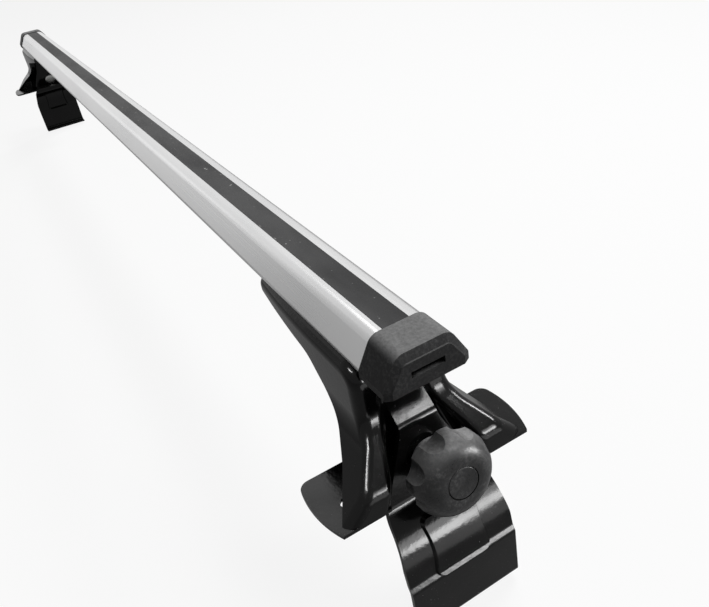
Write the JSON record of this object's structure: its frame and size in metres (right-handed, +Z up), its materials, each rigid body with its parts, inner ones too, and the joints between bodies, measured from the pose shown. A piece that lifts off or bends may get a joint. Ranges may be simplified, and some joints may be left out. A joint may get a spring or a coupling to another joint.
{
  "type": "roof rack crossbar",
  "caption": "Aluminium car roof crossbar with a rubber top strip, end caps, and a pressed steel foot with a clamp hook and knob at each end.",
  "frame": {"origin": "on the floor under the middle of the bar, level with the underside of the two hook lips", "axes": "+X along the bar towards the right foot, +Y across the bar, +Z up"},
  "size_m": [1.3982, 0.142, 0.1955],
  "materials": {
    "aluminium": "satin anodised",
    "strip_rubber": "matte",
    "cap_plastic": "fine grain",
    "black_steel": "gloss black coating",
    "plated_steel": "zinc plated",
    "knob_plastic": "fine grain",
    "insert_brass": "machined"
  },
  "bodies": {
    "bar": {"bar_extrusion": "aluminium", "top_strip": "strip_rubber", "end_cap_right": "cap_plastic", "end_cap_left": "cap_plastic"},
    "foot_right": {"foot_bracket_right": "black_steel", "track_bolts_right": "plated_steel", "track_washers_right": "plated_steel", "track_nuts_right": "plated_steel", "clamp_stud_right": "plated_steel"},
    "hook_right": {"clamp_hook_right": "black_steel"},
    "carrier_right": {"thrust_washer_right": "plated_steel"},
    "grip_right": {"knob_right": "knob_plastic", "knob_insert_right": "insert_brass", "knob_cover_right": "knob_plastic"},
    "foot_left": {"foot_bracket_left": "black_steel", "track_bolts_left": "plated_steel", "track_washers_left": "plated_steel", "track_nuts_left": "plated_steel", "clamp_stud_left": "plated_steel"},
    "hook_left": {"clamp_hook_left": "black_steel"},
    "carrier_left": {"thrust_washer_left": "plated_steel"},
    "grip_left": {"knob_left": "knob_plastic", "knob_insert_left": "insert_brass", "knob_cover_left": "knob_plastic"}
  },
  "joints": [
    {"name": "foot_slide_right", "type": "slide", "parent": "bar", "child": "foot_right", "axis": [-1, 0, 0], "range_m": [0, 0.15]},
    {"name": "hook_rock_right", "type": "hinge", "parent": "foot_right", "child": "hook_right", "pos_m": [0.64421, 0, 0.1408], "axis": [0, 1, 0], "range_deg": [-4.6, 6.6]},
    {"name": "carrier_slide_right", "type": "slide", "parent": "foot_right", "child": "carrier_right", "axis": [0.9848, 0, 0.1736], "range_m": [-0.00375, 0.0025]},
    {"name": "knob_turn_right", "type": "hinge", "parent": "carrier_right", "child": "grip_right", "pos_m": [0.64985, 0, 0.1065], "axis": [0.9848, 0, 0.1736], "range_deg": [-1081, 721]},
    {"name": "foot_slide_left", "type": "slide", "parent": "bar", "child": "foot_left", "axis": [1, 0, 0], "range_m": [0, 0.15]},
    {"name": "hook_rock_left", "type": "hinge", "parent": "foot_left", "child": "hook_left", "pos_m": [-0.64421, 0, 0.1408], "axis": [0, -1, 0], "range_deg": [-4.6, 6.6]},
    {"name": "carrier_slide_left", "type": "slide", "parent": "foot_left", "child": "carrier_left", "axis": [-0.9848, 0, 0.1736], "range_m": [-0.00375, 0.0025]},
    {"name": "knob_turn_left", "type": "hinge", "parent": "carrier_left", "child": "grip_left", "pos_m": [-0.64985, 0, 0.1065], "axis": [-0.9848, 0, 0.1736], "range_deg": [-1081, 721]}
  ],
  "couplings": [
    {"joint": "knob_turn_right", "follows": "carrier_slide_right", "rad_per_m": 5026.5},
    {"joint": "hook_rock_right", "follows": "carrier_slide_right", "rad_per_m": -28.712},
    {"joint": "knob_turn_left", "follows": "carrier_slide_left", "rad_per_m": 5026.5},
    {"joint": "hook_rock_left", "follows": "carrier_slide_left", "rad_per_m": -28.712}
  ]
}
